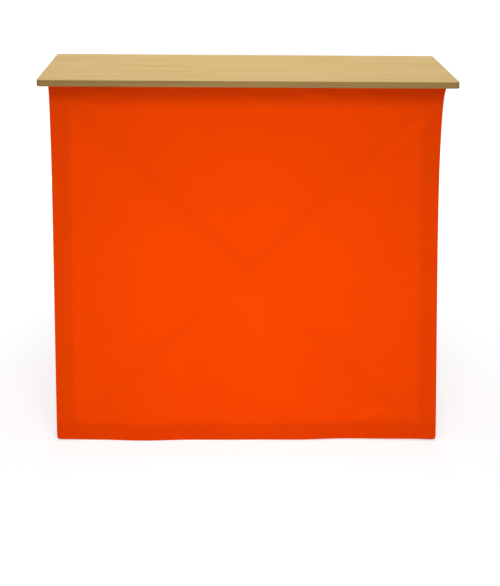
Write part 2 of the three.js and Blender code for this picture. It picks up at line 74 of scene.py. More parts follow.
# How round each way of making leaves an edge
MOULDED_EDGE = 0.8 * MM
SMALL_MOULDED_EDGE = 0.4 * MM
BUSH_EDGE = 0.2 * MM
PLANED_EDGE = 0.4 * MM
CUT_EDGE = 0.3 * MM
RAIL_EDGE = 0.4 * MM
NUT_EDGE = 0.7 * MM

RAIL_CLEARANCE = 0.3 * MM
SADDLE_SCREWS = 8
BRACKETS = 3
ENDS = (("front", -1), ("rear", 1))
LEG_FRAMES = ("outer", "inner")
UP = Vector((0, 0, 1))
TOWARDS_REAR = Vector((0, 1, 0))

# Places that the cloth takes from the solids
HEADING_LOW, HEADING_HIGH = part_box("cloth_heading")
CLOTH_TOP = HEADING_HIGH.z
CLOTH_LENGTH = CLOTH_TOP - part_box("cloth_panel")[0].z
CLOTH_HALF_WIDTH = HEADING_HIGH.x
CLOTH_BACK = HEADING_HIGH.y
CLOTH_HINGE_HEIGHT = HEADING_LOW.z

# Drags and tucks seen in the hung cloth, in mm: start (x, z), end (x, z), half width, height
CREASES = {
    "heading_pinch": ((-6, 1080), (-3, 1040), 13, 6),
    "heading_dip_left": ((-470, 1076), (-400, 1062), 18, 5),
    "heading_dip_right": ((160, 1074), (230, 1062), 18, 5),
    "middle_crease": ((-4, 760), (-2, 655), 8, 2.6),
    "corner_drag_upper": ((425, 895), (505, 965), 22, 3.6),
    "corner_drag_lower": ((395, 730), (430, 778), 22, 3.2),
    "hem_pull_inner": ((340, 72), (392, 90), 12, 2.4),
    "hem_pull_outer": ((418, 90), (472, 78), 12, 2.4),
    "side_tuck": ((-558, 498), (-540, 530), 9, 2.4),
}


def linear(hex_colour):
    """Linear red, green and blue of an sRGB hex colour."""
    parts = [int(hex_colour[start:start + 2], 16) / 255 for start in (0, 2, 4)]
    return tuple(p / 12.92 if p <= 0.04045 else ((p + 0.055) / 1.055) ** 2.4 for p in parts)


def length(name, description, millimetres):
    """A size that a user may change."""
    return FloatProperty(
        name=name,
        description=description,
        default=millimetres * MM,
        unit="LENGTH",
        precision=5,
    )


def colour(name, description, hex_colour):
    """A colour that a user may change."""
    return FloatVectorProperty(
        name=name,
        description=description,
        default=linear(hex_colour),
        subtype="COLOR",
        min=0,
        max=1,
    )


def angle(name, description, degrees):
    """An angle that a user may change."""
    return FloatProperty(
        name=name,
        description=description,
        default=math.radians(degrees),
        subtype="ANGLE",
        unit="ROTATION",
    )


def amount(name, description, value, unit="NONE"):
    """A place, a power or a strength that a user may change."""
    return FloatProperty(name=name, description=description, default=value, unit=unit)


class BarColours(bpy.types.PropertyGroup):
    """Colours of the bar's finishes."""

    laminate: colour("Laminate", "Middle tone of the printed beech", "D1AF68")
    laminate_dark: colour("Laminate streak", "Darker streaks of the printed beech", "C59F56")
    laminate_light: colour("Laminate light", "Paler streaks of the printed beech", "D9BC79")
    # The edge band has the laminate's print, but darker tones: painted shade of the board's front edge
    edge_band: colour("Edge band", "Middle tone of the glued edge band", "997B46")
    edge_band_dark: colour("Edge band streak", "Darker streaks of the edge band", "866A3E")
    cloth: colour("Cloth", "Woven cloth of the front", "F44B00")
    cloth_dark: colour("Cloth shade", "Darker yarns of the cloth", "F14900")
    cloth_light_through: colour("Cloth glow", "Light that comes through the cloth", "FF9600")
    thread: colour("Thread", "Sewing thread of the hems", "FF5A08")
    batten: colour("Batten", "Planed softwood of the batten", "CFAE7C")
    batten_dark: colour("Batten grain", "Late wood in the batten", "A9814E")
    tube: colour("Tube", "Silver powder coat of the legs and rails", "B9BCC0")
    casting: colour("Casting", "Die-cast alloy of the leg fittings", "8E9196")
    steel: colour("Steel", "Bright zinc-plated steel", "C6C8CA")
    rubber: colour("Rubber", "Black rubber of the boots", "1B1B1C")
    nylon: colour("Nylon", "Black moulded nylon", "242527")
    tape: colour("Touch tape", "Black hook and loop tape", "29292A")
    floor: colour("Floor", "Plain pale floor", "BCBCBC")


class BarSizes(bpy.types.PropertyGroup):
    """Sizes of what is added to the solids."""

    hem: length("Hem", "Width of the cloth turned to the back", 56)
    cloth_thickness: length("Cloth", "Thickness of one layer of cloth", 0.45)
    cloth_overlap: length("Cloth overlap", "How far the cloth hides the ends of its batten", 8)
    hem_rise: length("Hem rise", "Distance between the two layers of a hem", 0.8)
    cloth_cell: length("Cloth cell", "Size of the cloth's mesh cells", 6)
    stitch: length("Stitch", "Length of one stitch", 3.2)
    stitch_pitch: length("Stitch pitch", "Distance from stitch to stitch", 4.2)
    thread: length("Thread", "Thickness of the sewing thread", 0.6)
    rail_diameter: length("Rail", "Diameter of the round rails", 25)
    rail_wall: length("Rail wall", "Wall of the round rails", 2)
    boot_diameter: length("Boot", "Diameter of the rubber boots", 38)
    boot_rib: length("Boot rib", "Pitch of the ribs round a boot", 3.6)
    boot_rib_depth: length("Boot rib depth", "Depth of the grooves round a boot", 1.1)
    casting_grain: length("Casting voxel", "Cell size in which the castings are rounded", 0.9)
    screw_head: length("Screw head", "Diameter of the pan-head screws", 8)
    screw_head_height: length("Screw head height", "Height of the pan-head screws", 2.4)
    bracket_screw_reach: length("Bracket screws", "From the bracket's corner to its screws", 22)
    bracket_screw_spacing: length("Bracket screw spacing", "Between a bracket's two screws", 15)
    bracket_sheet: length("Bracket sheet", "Thickness of the pressed bracket", 2.5)
    set_screw: length("Set screw", "Diameter of the set screws in the fittings", 6)
    nut_across_flats: length("Nut", "Across the flats of the cap nuts", 17)
    nut_height: length("Nut height", "Height of a cap nut's hexagon", 8)
    nut_dome: length("Nut dome", "Diameter of a cap nut's dome", 15)


class BarStage(bpy.types.PropertyGroup):
    """Camera, lamps and floor."""

    camera_x: amount("Camera X", "Camera to the right", -0.0806, "LENGTH")
    camera_y: amount("Camera Y", "Camera to the rear", -4.6726, "LENGTH")
    camera_z: amount("Camera Z", "Camera above the floor", 1.7161, "LENGTH")
    pitch: angle("Pitch", "How far the camera looks down", 15.809)
    yaw: angle("Yaw", "How far the camera looks to the right", 1.171)
    roll: angle("Roll", "Turn of the camera about its view", 0.491)
    focal_pixels: amount("Focal length", "In pixels of the photograph", 1547.2)
    key_power: amount("Key", "Power of the lamp in front", 6.3, "POWER")
    top_power: amount("Top", "Power of the lamp overhead", 10, "POWER")
    rear_power: amount("Rear", "Power of the lamp behind", 95, "POWER")
    slant: amount("Slant", "Strength of the slanting light from the front", 1.5)
    sky: amount("Sky", "Strength of the even light all round", 0.24)
    # Lower than the far glow, so the floor by the bar shows greyer: painted shade round the bar on top of
    # its real shadow
    near_glow_painted_shade: amount("Floor glow", "Lifts the floor by the bar in view", 0.6)
    far_glow: amount("Far glow", "Lifts the floor far from the bar to white", 0.76)


def add_node(tree, kind, inputs=None, stops=(), **settings):
    """Adds a node with its settings, its ramp stops, and its inputs as values or links."""
    made = tree.nodes.new(kind)
    for name, value in settings.items():
        setattr(made, name, value)
    for index, (place, tone) in enumerate(stops):
        ramp = made.color_ramp.elements
        stop = ramp[index] if index < len(ramp) else ramp.new(place)
        stop.position = place
        stop.color = (*tone, 1)
    for key, value in (inputs or {}).items():
        if isinstance(value, bpy.types.NodeSocket):
            tree.links.new(value, made.inputs[key])
        else:
            made.inputs[key].default_value = value
    return made


def start_material(name, metallic, roughness):
    """A new material with its node tree and its Principled shader."""
    material = bpy.data.materials.new(name)
    material.use_nodes = True
    tree = material.node_tree
    surface = tree.nodes["Principled BSDF"]
    surface.inputs["Metallic"].default_value = metallic
    surface.inputs["Roughness"].default_value = roughness
    return material, tree, surface


def per_size(x, y, z):
    """Mapping scale that makes one cell of a pattern x, y and z mm large."""
    return (1 / (x * MM), 1 / (y * MM), 1 / (z * MM))


def grained(name, tones, streak, pore, roughness, seam_depth=None):
    """Wood with its grain along X: broad streaks, fine pores and a slight relief, in three tones."""
    material, tree, surface = start_material(name, 0, roughness)
    surface.inputs["Specular IOR Level"].default_value = 0.2
    place = add_node(tree, "ShaderNodeTexCoord").outputs["Object"]
    streak_place = add_node(tree, "ShaderNodeMapping", {"Vector": place, "Scale": per_size(*streak)})
    streaks = add_node(
        tree,
        "ShaderNodeTexNoise",
        {"Vector": streak_place.outputs[0], "Scale": 1, "Detail": 4, "Roughness": 0.55, "Distortion": 0.4},
    )
    pore_place = add_node(tree, "ShaderNodeMapping", {"Vector": place, "Scale": per_size(*pore)})
    pores = add_node(
        tree,
        "ShaderNodeTexNoise",
        {"Vector": pore_place.outputs[0], "Scale": 1, "Detail": 2, "Roughness": 0.6},
    )
    pore_share, pore_depth = 0.35, 0.2
    tone = add_node(
        tree,
        "ShaderNodeMath",
        {0: pores.outputs[0], 1: pore_share, 2: streaks.outputs[0]},
        operation="MULTIPLY_ADD",
    ).outputs[0]
    if seam_depth is not None:
        tone = darker_grain_line(tree, place, tone, seam_depth)
    dark, middle, light = tones
    ramp = add_node(
        tree,
        "ShaderNodeValToRGB",
        {"Fac": tone},
        stops=((0.42, dark), (0.66, middle), (0.92, light)),
    )
    tree.links.new(ramp.outputs[0], surface.inputs["Base Color"])
    relief = add_node(
        tree,
        "ShaderNodeBump",
        {"Height": pores.outputs[0], "Strength": 0.15, "Distance": pore_depth * MM},
    )
    tree.links.new(relief.outputs[0], surface.inputs["Normal"])
    return material


def darker_grain_line(tree, place, tone, depth):
    """Takes tone off along one broken grain line that runs with X at that depth of the board."""
    half_width = 2.2 * MM
    break_length = 150
    endless = 1e6
    strength = 0.22
    axes = add_node(tree, "ShaderNodeSeparateXYZ", {0: place})
    off = add_node(tree, "ShaderNodeMath", {0: axes.outputs["Y"], 1: depth}, operation="SUBTRACT")
    away = add_node(tree, "ShaderNodeMath", {0: off.outputs[0]}, operation="ABSOLUTE")
    line = add_node(
        tree,
        "ShaderNodeMapRange",
        {"Value": away.outputs[0], "From Min": 0, "From Max": half_width, "To Min": strength, "To Max": 0},
    )
    along = add_node(
        tree,
        "ShaderNodeMapping",
        {"Vector": place, "Scale": per_size(break_length, endless, endless)},
    )
    breaks = add_node(tree, "ShaderNodeTexNoise", {"Vector": along.outputs[0], "Scale": 1, "Detail": 1})
    shown = add_node(
        tree,
        "ShaderNodeMapRange",
        {"Value": breaks.outputs[0], "From Min": 0.42, "From Max": 0.6, "To Min": 0, "To Max": 1},
    )
    taken = add_node(
        tree,
        "ShaderNodeMath",
        {0: line.outputs[0], 1: shown.outputs[0]},
        operation="MULTIPLY",
    )
    left = add_node(tree, "ShaderNodeMath", {0: tone, 1: taken.outputs[0]}, operation="SUBTRACT")
    return left.outputs[0]


def grainy(name, base, metallic, roughness, grain, relief, spread=0.12):
    """A finish with an even fine grain: its tone, gloss and relief vary over grain mm, relief mm deep."""
    material, tree, surface = start_material(name, metallic, roughness)
    place = add_node(tree, "ShaderNodeTexCoord").outputs["Object"]
    cells = add_node(
        tree,
        "ShaderNodeTexNoise",
        {"Vector": place, "Scale": 1 / (grain * MM), "Detail": 3, "Roughness": 0.6},
    )
    patch_size = 60
    cell_share = 0.5
    gloss_spread = 0.08
    patches = add_node(
        tree,
        "ShaderNodeTexNoise",
        {"Vector": place, "Scale": 1 / (patch_size * MM), "Detail": 4, "Roughness": 0.6},
    )
    mixed = add_node(
        tree,
        "ShaderNodeMath",
        {0: cells.outputs[0], 1: cell_share, 2: patches.outputs[0]},
        operation="MULTIPLY_ADD",
    )
    dark = tuple(part * (1 - spread) for part in base)
    light = tuple(min(1, part * (1 + spread)) for part in base)
    ramp = add_node(tree, "ShaderNodeValToRGB", {"Fac": mixed.outputs[0]}, stops=((0.45, dark), (1, light)))
    tree.links.new(ramp.outputs[0], surface.inputs["Base Color"])
    gloss = add_node(
        tree,
        "ShaderNodeMapRange",
        {
            "Value": mixed.outputs[0],
            "From Min": 0.4,
            "From Max": 1.1,
            "To Min": roughness - gloss_spread,
            "To Max": roughness + gloss_spread,
        },
    )
    tree.links.new(gloss.outputs[0], surface.inputs["Roughness"])
    bump = add_node(
        tree,
        "ShaderNodeBump",
        {"Height": cells.outputs[0], "Strength": 0.4, "Distance": relief * MM},
    )
    tree.links.new(bump.outputs[0], surface.inputs["Normal"])
    return material


def woven_cloth(colours):
    """Woven polyester: matt, uneven yarns in a fine plain weave, thin enough to let some light through."""
    material, tree, surface = start_material("woven_polyester_cloth", 0, 0.85)
    surface.inputs["Specular IOR Level"].default_value = 0.02
    patch_size = 170
    yarn_width, yarn_run = 2.4, 90
    yarn_share = 0.4
    yarn_spacing = 1.2  # about twice the real spacing, so that the weave shows from close by
    weave_depth = 0.12
    light_share = 0.25
    place = add_node(tree, "ShaderNodeUVMap", uv_map="flat_cut").outputs[0]
    patches = add_node(
        tree,
        "ShaderNodeTexNoise",
        {"Vector": place, "Scale": 1 / (patch_size * MM), "Detail": 3, "Roughness": 0.55},
    )
    yarn_place = add_node(
        tree,
        "ShaderNodeMapping",
        {"Vector": place, "Scale": per_size(yarn_width, yarn_run, 1)},
    )
    yarns = add_node(
        tree,
        "ShaderNodeTexNoise",
        {"Vector": yarn_place.outputs[0], "Scale": 1, "Detail": 2, "Roughness": 0.6},
    )
    tone = add_node(
        tree,
        "ShaderNodeMath",
        {0: yarns.outputs[0], 1: yarn_share, 2: patches.outputs[0]},
        operation="MULTIPLY_ADD",
    )
    ramp = add_node(
        tree,
        "ShaderNodeValToRGB",
        {"Fac": tone.outputs[0]},
        stops=((0.45, tuple(colours.cloth_dark)), (0.95, tuple(colours.cloth))),
    )
    tree.links.new(ramp.outputs[0], surface.inputs["Base Color"])
    axes = add_node(tree, "ShaderNodeSeparateXYZ", {0: place})
    waves = []
    for axis in ("X", "Y"):
        turns = add_node(
            tree,
            "ShaderNodeMath",
            {0: axes.outputs[axis], 1: math.pi / (yarn_spacing * MM)},
            operation="MULTIPLY",
        )
        waves.append(add_node(tree, "ShaderNodeMath", {0: turns.outputs[0]}, operation="SINE"))
    crossing = add_node(
        tree,
        "ShaderNodeMath",
        {0: waves[0].outputs[0], 1: waves[1].outputs[0]},
        operation="MULTIPLY",
    )
    weave = add_node(
        tree,
        "ShaderNodeBump",
        {"Height": crossing.outputs[0], "Strength": 0.3, "Distance": weave_depth * MM},
    )
    tree.links.new(weave.outputs[0], surface.inputs["Normal"])
    glow = add_node(
        tree,
        "ShaderNodeBsdfTranslucent",
        {"Color": (*colours.cloth_light_through, 1)},
    )
    through = add_node(
        tree,
        "ShaderNodeMixShader",
        {0: light_share, 1: surface.outputs[0], 2: glow.outputs[0]},
    )
    tree.links.new(through.outputs[0], tree.nodes["Material Output"].inputs["Surface"])
    return material


def make_finishes(colours):
    """Every finish of the bar, by its material slot."""
    beech = (tuple(colours.laminate_dark), tuple(colours.laminate), tuple(colours.laminate_light))
    band = (tuple(colours.edge_band_dark), tuple(colours.edge_band), tuple(colours.edge_band))
    softwood = (tuple(colours.batten_dark), tuple(colours.batten), tuple(colours.batten))
    return {
        # Pressed laminate: even honey tone, straight soft streaks and a low satin gloss
        "beech_laminate": grained(
            "printed_beech_laminate",
            beech,
            streak=(420, 16, 16),
            pore=(26, 1.6, 1.6),
            roughness=0.55,
            seam_depth=10 * MM,
        ),
        # Extruded edging with the same print; its darker tones are painted shade of the board's front edge
        "edge_band": grained(
            "beech_print_edging_painted_shade",
            band,
            streak=(300, 9, 9),
            pore=(30, 1.4, 1.4),
            roughness=0.5,
        ),
        # Planed softwood, oiled by handling
        "batten_wood": grained(
            "planed_softwood",
            softwood,
            streak=(260, 7, 7),
            pore=(18, 0.9, 0.9),
            roughness=0.6,
        ),
        # Silver powder coat on steel tube: a soft metallic sheen with a slight orange peel
        "leg_tube": grainy(
            "silver_powder_coat",
            tuple(colours.tube),
            metallic=0.85,
            roughness=0.38,
            grain=1.1,
            relief=0.05,
        ),
        # Die-cast alloy, tumbled: duller than the tube, with a sandy skin
        "cast_fitting": grainy(
            "tumbled_die_cast_alloy",
            tuple(colours.casting),
            metallic=0.9,
            roughness=0.5,
            grain=0.9,
            relief=0.15,
            spread=0.2,
        ),
        # Zinc-plated steel: bright with slightly cloudy plating
        "steel": grainy(
            "zinc_plated_steel",
            tuple(colours.steel),
            metallic=1,
            roughness=0.28,
            grain=2.5,
            relief=0.02,
        ),
        # Moulded rubber: nearly black and matt, with a dusty grain
        "rubber": grainy(
            "moulded_rubber",
            tuple(colours.rubber),
            metallic=0,
            roughness=0.82,
            grain=0.8,
            relief=0.1,
            spread=0.25,
        ),
        # Moulded nylon: dark with a fine spark-eroded texture
        "nylon": grainy(
            "moulded_nylon",
            tuple(colours.nylon),
            metallic=0,
            roughness=0.52,
            grain=0.6,
            relief=0.06,
            spread=0.18,
        ),
        # Woven polyester: a matt bright field through which the legs show faintly
        "cloth": woven_cloth(colours),
        # Hook and loop tape: a dull pile of fine hooks
        "touch_tape": grainy(
            "hook_and_loop_pile",
            tuple(colours.tape),
            metallic=0,
            roughness=0.95,
            grain=1.4,
            relief=0.5,
            spread=0.3,
        ),
    }


def sewing_thread(colours):
    """Twisted polyester thread, a little brighter than the cloth."""
    return grainy(
        "twisted_polyester_thread",
        tuple(colours.thread),
        metallic=0,
        roughness=0.6,
        grain=0.5,
        relief=0.05,
    )


FINISHES = {}


def finish(slot):
    """The material of a slot. All of them are made the first time that one is asked for."""
    if not FINISHES:
        FINISHES.update(make_finishes(bpy.context.scene.bar_colours))
    return FINISHES[slot]


def centre(node):
    """The middle of a node's box."""
    low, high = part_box(node)
    return (low + high) / 2


def add_piece(bm, name, slot, body, stands_for=(), material=None):
    """Makes a mesh piece that rides on a body."""
    mesh = bpy.data.meshes.new(name)
    bm.to_mesh(mesh)
    bm.free()
    mesh.materials.append(material or finish(slot))
    mesh.shade_smooth()
    mesh.set_sharp_from_angle(angle=SHARP_ANGLE)
    piece = bpy.data.objects.new(name, mesh)
    bpy.context.scene.collection.objects.link(piece)
    if body is not None:
        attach(piece, body)
    if stands_for:
        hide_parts(*stands_for)
    return piece


def merged_copy(node):
    """A copy of a node's solid with its triangles joined."""
    bm = bmesh.new()
    bm.from_mesh(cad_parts[node].data)
    bmesh.ops.remove_doubles(bm, verts=bm.verts, dist=MERGE_DISTANCE)
    return bm


def soften(bm, width, segments=2):
    """Rounds every sharp edge."""
    sharp = [e for e in bm.edges if e.is_manifold and e.calc_face_angle() > SHARP_ANGLE]
    bmesh.ops.bevel(
        bm,
        geom=sharp,
        offset=width,
        offset_type="OFFSET",
        affect="EDGES",
        segments=segments,
        profile=0.5,
        material=-1,
        clamp_overlap=True,
    )


def shorten(bm, node, trim):
    """Cuts a little off both ends of a copy that runs along X."""
    low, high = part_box(node)
    for place, outward in ((low.x + trim, -1), (high.x - trim, 1)):
        bmesh.ops.bisect_plane(
            bm,
            geom=bm.verts[:] + bm.edges[:] + bm.faces[:],
            plane_co=(place, 0, 0),
            plane_no=(outward, 0, 0),
            clear_outer=True,
        )
        bmesh.ops.holes_fill(bm, edges=[e for e in bm.edges if e.is_boundary])


def softened_copy(node, suffix, slot, body, width, trim=0):
    """A piece that stands for a node: its solid with whole flat faces and rounded edges."""
    bm = merged_copy(node)
    if trim:
        shorten(bm, node, trim)
    bmesh.ops.dissolve_limit(bm, angle_limit=FLAT_ANGLE, verts=bm.verts, edges=bm.edges)
    if width:
        soften(bm, width)
    piece = add_piece(bm, f"{node}_{suffix}", slot, body, [node])
    piece.modifiers.new("flat_faces", "WEIGHTED_NORMAL").keep_sharp = True
    return piece


def turned(points, steps=TURN_STEPS):
    """A closed form turned round the Y axis from (radius, along) points."""
    bm = bmesh.new()
    verts = [bm.verts.new((radius, along, 0)) for radius, along in points]
    edges = [bm.edges.new(pair) for pair in zip(verts, verts[1:])]
    bmesh.ops.spin(
        bm,
        geom=verts + edges,
        cent=(0, 0, 0),
        axis=(0, 1, 0),
        angle=2 * math.pi,
        steps=steps,
        use_merge=True,
    )
    bmesh.ops.remove_doubles(bm, verts=bm.verts, dist=MERGE_DISTANCE)
    bmesh.ops.recalc_face_normals(bm, faces=bm.faces)
    return bm


def tube_points(inner, outer, half):
    """The section of a tube, for turning."""
    return [(inner, -half), (outer, -half), (outer, half), (inner, half), (inner, -half)]


def finish_node(node, slot):
    """Gives a node that stays its finish."""
    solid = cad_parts[node]
    solid.data.materials.clear()
    solid.data.materials.append(finish(slot))


def screw_head(radius, height):
    """A pan head on the XY plane with a cross recess in its crown."""
    crown_fall, recess_reach, recess_depth = 0.5, 0.5, 0.6
    bm = bmesh.new()
    bmesh.ops.create_grid(bm, x_segments=5, y_segments=5, size=1)
    for vert in bm.verts:
        x, y = vert.co.x, vert.co.y
        disc = Vector((x * math.sqrt(1 - y * y / 2), y * math.sqrt(1 - x * x / 2), 0))
        crown = height * (1 - crown_fall * disc.length_squared ** 2)
        vert.co = disc * radius + UP * crown
    arm = recess_reach * radius
    recess = [f for f in bm.faces if f.calc_center_median().to_2d().length < arm]
    sunk = bmesh.ops.extrude_face_region(bm, geom=recess)["geom"]
    sunk_verts = [g for g in sunk if isinstance(g, bmesh.types.BMVert)]
    bmesh.ops.delete(bm, geom=recess, context="FACES_ONLY")
    bmesh.ops.translate(bm, verts=sunk_verts, vec=-UP * height * recess_depth)
    rim = [e for e in bm.edges if e.is_boundary]
    skirt = bmesh.ops.extrude_edge_only(bm, edges=rim)["geom"]
    for vert in (g for g in skirt if isinstance(g, bmesh.types.BMVert)):
        vert.co.z = 0
    bmesh.ops.holes_fill(bm, edges=[e for e in bm.edges if e.is_boundary])
    bmesh.ops.recalc_face_normals(bm, faces=bm.faces)
    return bm


def set_screw(radius, depth):
    """A set screw standing on the XY plane with a hexagon socket in its top."""
    socket_size, socket_depth = 0.55, 0.7
    bm = bmesh.new()
    bmesh.ops.create_cone(
        bm,
        cap_ends=True,
        segments=SMALL_TURN_STEPS,
        radius1=radius,
        radius2=radius,
        depth=depth,
        matrix=Matrix.Translation(UP * depth / 2),
    )
    top = max(bm.faces, key=lambda face: face.calc_center_median().z)
    bmesh.ops.delete(bm, geom=[top], context="FACES_ONLY")
    mouth = [e for e in bm.edges if e.is_boundary]
    socket = bmesh.ops.create_circle(
        bm,
        segments=6,
        radius=radius * socket_size,
        matrix=Matrix.Translation(UP * depth),
    )["verts"]
    socket_edges = list({e for v in socket for e in v.link_edges})
    bmesh.ops.bridge_loops(bm, edges=mouth + socket_edges)
    sunk = bmesh.ops.extrude_edge_only(bm, edges=socket_edges)["geom"]
    sunk_verts = [g for g in sunk if isinstance(g, bmesh.types.BMVert)]
    bmesh.ops.translate(bm, verts=sunk_verts, vec=-UP * depth * socket_depth)
    bmesh.ops.holes_fill(bm, edges=[e for e in bm.edges if e.is_boundary])
    bmesh.ops.recalc_face_normals(bm, faces=bm.faces)
    return bm


def facing(point, direction):
    """Puts a form that stands on the XY plane on a point, facing a direction."""
    return Matrix.Translation(point) @ direction.to_track_quat("Z", "Y").to_matrix().to_4x4()


class BAR_OT_counter(bpy.types.Operator):
    """Finish the board and wrap its edge band round it"""

    bl_idname = "bar.counter"
    bl_label = "Counter board"

    def execute(self, context):
        finish_node("counter_board", "beech_laminate")
        softened_copy("counter_edge_band", "trim", "edge_band", "counter", 0)
        return {"FINISHED"}


class BAR_OT_saddles(bpy.types.Operator):
    """Mould the saddles and screw them under the board"""

    bl_idname = "bar.saddles"
    bl_label = "Saddles"

    def execute(self, context):
        sizes = context.scene.bar_sizes
        for side in ("left", "right"):
            for end, _ in ENDS:
                softened_copy(f"saddle_{side}_{end}", "moulding", "nylon", "counter", MOULDED_EDGE)
        for index in range(1, SADDLE_SCREWS + 1):
            node = f"saddle_screw_{index}"
            seat = centre(node)
            seat.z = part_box(node)[0].z + sizes.screw_head_height
            bm = screw_head(sizes.screw_head / 2, sizes.screw_head_height)
            bmesh.ops.transform(bm, verts=bm.verts, matrix=facing(seat, -UP))
            add_piece(bm, f"{node}_head", "steel", "counter", [node])
        return {"FINISHED"}


class BAR_OT_cloth_rail(bpy.types.Operator):
    """Fit the batten, its brackets and their screws, and the touch tapes"""

    bl_idname = "bar.cloth_rail"
    bl_label = "Cloth rail"

    def execute(self, context):
        sizes = context.scene.bar_sizes
        trim = sizes.cloth_overlap
        softened_copy("cloth_batten", "wood", "batten_wood", "counter", PLANED_EDGE, trim)
        for tape in ("hook_tape", "loop_tape"):
            softened_copy(tape, "strip", "touch_tape", "counter", 0, trim)
        for index in range(1, BRACKETS + 1):
            node = f"batten_bracket_{index}"
            softened_copy(node, "pressing", "steel", "counter", CUT_EDGE)
            low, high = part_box(node)
            middle = (low.x + high.x) / 2
            reach = sizes.bracket_screw_reach
            for number, offset in ((1, -0.5), (2, 0.5)):
                x = middle + offset * sizes.bracket_screw_spacing
                up_seat = Vector((x, low.y + reach, high.z - sizes.bracket_sheet))
                forward_seat = Vector((x, low.y + sizes.bracket_sheet, high.z - reach))
                for way, seat, out in (("up", up_seat, -UP), ("forward", forward_seat, TOWARDS_REAR)):
                    bm = screw_head(sizes.screw_head / 2, sizes.screw_head_height)
                    bmesh.ops.transform(bm, verts=bm.verts, matrix=facing(seat, out))
                    add_piece(bm, f"bracket_{index}_screw_{way}_{number}", "steel", "counter")
        return {"FINISHED"}


def cloth_reach(across, down):
    """Half the cloth's width on that side, at a share of the way down: it draws in under its corners."""
    left, right = (2, 1.5, 4), (5, 11, 14)
    give, spread, draw = left if across < 0 else right
    drawn_in = give - spread * down + draw * math.sin(math.pi * math.sqrt(max(0, down)))
    return CLOTH_HALF_WIDTH - drawn_in * MM


def crease_height(x, z):
    """How far the drags and tucks push the cloth towards the guests."""
    point = Vector((x, z)) / MM
    height = 0
    for start, end, half_width, rise in CREASES.values():
        line = Vector(end) - Vector(start)
        share = max(0, min(1, (point - Vector(start)).dot(line) / line.length_squared))
        away = (point - Vector(start) - share * line).length
        height += rise * math.exp(-((away / half_width) ** 2))
    return height * MM


def cloth_point(across, down, sizes):
    """A point on the front layer of the hung cloth: across from -1 to 1, down from 0 to 1."""
    stretch = 6.5 * MM
    sag_depth, sag_place, sag_width = 5.5 * MM, -230 * MM, 300 * MM
    fold_depth, fold_width = 3.5 * MM, 490 * MM
    ripple_depth, ripple_width, ripple_lean = 1.75 * MM, 238 * MM, 113 * MM
    slack_depth, slack_size = 0.8 * MM, 150 * MM
    pucker_depth, pucker_size, pucker_reach = 0.7 * MM, 26 * MM, 14 * MM
    corner_pull, corner_reach = 2 * MM, 6 * MM
    side_curl, foot_tilt = 2.5 * MM, 6 * MM
    slack_reach = 0.25
    x = across * cloth_reach(across, down)
    sag = sag_depth * math.exp(-(((x - sag_place) / sag_width) ** 2))
    z = CLOTH_TOP - down * (CLOTH_LENGTH + stretch - sag_depth + sag)
    hang = max(0, CLOTH_HINGE_HEIGHT - z) / (CLOTH_LENGTH - CLOTH_TOP + CLOTH_HINGE_HEIGHT)
    fold = fold_depth * math.sin(2 * math.pi * x / fold_width)
    ripple = ripple_depth * math.sin(2 * math.pi * (x - ripple_lean * down) / ripple_width)
    slack = slack_depth * noise.noise(Vector((x, z, 0)) / slack_size)
    to_side = (1 - abs(across)) * CLOTH_HALF_WIDTH - sizes.hem
    to_end = min(down, 1 - down) * CLOTH_LENGTH - sizes.hem
    to_hem = min(abs(to_side), abs(to_end))
    pucker = pucker_depth * math.exp(-((to_hem / pucker_reach) ** 2))
    pucker *= noise.noise(Vector((x, z, 1)) / pucker_size)
    side_turn = side_curl * max(0, -to_side) / sizes.hem
    foot_turn = foot_tilt * max(0, sizes.hem - (1 - down) * CLOTH_LENGTH) / sizes.hem
    forward = hang * (fold + ripple + side_turn) - foot_turn
    forward += min(1, hang / slack_reach) * (slack + pucker) + crease_height(x, z)
    from_corner = math.hypot((1 - abs(across)) * CLOTH_HALF_WIDTH, (1 - down) * CLOTH_LENGTH)
    pull = corner_pull * math.exp(-((from_corner / corner_reach) ** 2))
    clearance = sizes.cloth_thickness
    front = CLOTH_BACK - clearance - sizes.cloth_thickness / 2 - sizes.hem_rise
    return Vector((x - math.copysign(pull, across), front - forward, z + pull))


def cloth_sheet(sizes):
    """The cut cloth with its four hems turned to the back, hung in place, with its flat cut as a UV map."""
    bm = bmesh.new()
    width = 2 * CLOTH_HALF_WIDTH
    columns = round(width / sizes.cloth_cell)
    rows = round(CLOTH_LENGTH / sizes.cloth_cell)
    bmesh.ops.create_grid(bm, x_segments=columns, y_segments=rows, size=1)
    share = bm.verts.layers.float_vector.new("share")
    cut = bm.verts.layers.float_vector.new("cut")
    for vert in bm.verts:
        vert[share] = (vert.co.x, (1 - vert.co.y) / 2, 0)
        vert[cut] = (vert.co.x * CLOTH_HALF_WIDTH, vert.co.y * CLOTH_LENGTH / 2, 0)
    turn = -0.5 * sizes.hem_rise
    insets = [(turn, sizes.hem_rise / 2), (0, sizes.hem_rise)]
    steps = round(sizes.hem / sizes.cloth_cell)
    insets += [(sizes.hem * step / steps, sizes.hem_rise) for step in range(1, steps + 1)]
    edges = [e for e in bm.edges if e.is_boundary]
    for inset, rise in insets:
        made = bmesh.ops.extrude_edge_only(bm, edges=edges)["geom"]
        edges = [g for g in made if isinstance(g, bmesh.types.BMEdge) and g.is_boundary]
        for vert in (g for g in made if isinstance(g, bmesh.types.BMVert)):
            x, y = vert.co.x, vert.co.y
            in_x = 1 - inset / CLOTH_HALF_WIDTH
            in_y = 1 - 2 * inset / CLOTH_LENGTH
            vert[share] = (x * in_x, (1 - y * in_y) / 2, rise)
            vert[cut] = (x * (2 - in_x) * CLOTH_HALF_WIDTH, y * (2 - in_y) * CLOTH_LENGTH / 2, 0)
    for vert in bm.verts:
        across, down, rise = vert[share]
        vert.co = cloth_point(across, down, sizes) + TOWARDS_REAR * rise
    flat = bm.loops.layers.uv.new("flat_cut")
    for face in bm.faces:
        for loop in face.loops:
            loop[flat].uv = loop.vert[cut].to_2d()
    bmesh.ops.recalc_face_normals(bm, faces=bm.faces)
    return bm


